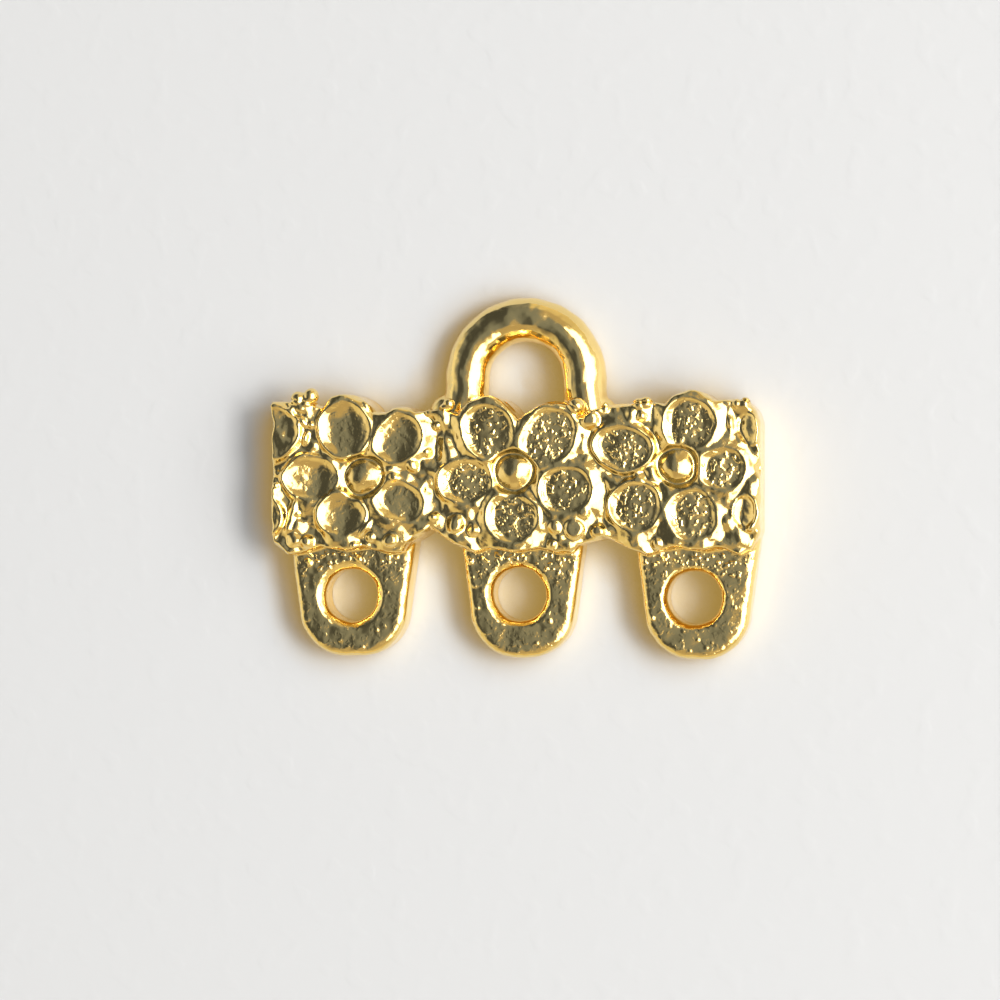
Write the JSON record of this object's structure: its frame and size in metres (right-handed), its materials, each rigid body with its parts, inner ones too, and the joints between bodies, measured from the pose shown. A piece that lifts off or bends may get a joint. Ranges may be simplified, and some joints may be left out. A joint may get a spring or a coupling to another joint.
{
  "type": "three-strand connector",
  "caption": "Cast metal end bar for strands of beads, with drilled tabs along one side, cupped flowers in relief and a loop for the clasp on the other.",
  "frame": {"origin": "middle of the casting's box at its flat back, where it rests", "axes": "+X along the row of strand tabs, +Y towards the clasp loop, +Z out of the flowers"},
  "size_m": [0.017, 0.0125, 0.0023],
  "materials": {
    "plated_gold": "bright pale gold plating on a lumpy casting, polished on the raised rims and faces"
  },
  "bodies": {
    "root": {"connector": "plated_gold"}
  },
  "joints": []
}
